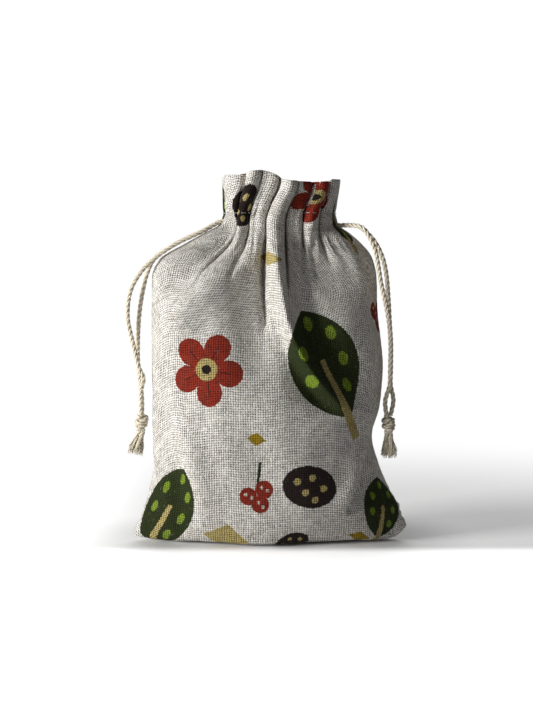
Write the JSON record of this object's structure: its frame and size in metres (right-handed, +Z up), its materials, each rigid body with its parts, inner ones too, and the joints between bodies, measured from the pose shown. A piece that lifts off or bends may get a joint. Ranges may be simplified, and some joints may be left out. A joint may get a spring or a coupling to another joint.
{
  "type": "kinchaku drawstring pouch",
  "caption": "Small cloth drawstring pouch with a gathered neck, standing filled out, and a knotted cord hanging from each side.",
  "frame": {"origin": "on the ground, in the middle of the cloth's box; the cords aren't counted", "axes": "+Z up, -Y towards the viewer of the front, +X to the viewer's right"},
  "size_m": [0.1285, 0.0586, 0.1671],
  "materials": {
    "printed_linen": "coarse plain weave of cotton and linen in a natural light grey beige, matt, with a scattered print in dark green, brick red, near black, ochre and mustard",
    "cotton_cord": "twisted natural cotton cord, matt, with frayed ends"
  },
  "bodies": {
    "root": {"pouch_cloth": "printed_linen", "left_cord": "cotton_cord", "right_cord": "cotton_cord"}
  },
  "joints": []
}
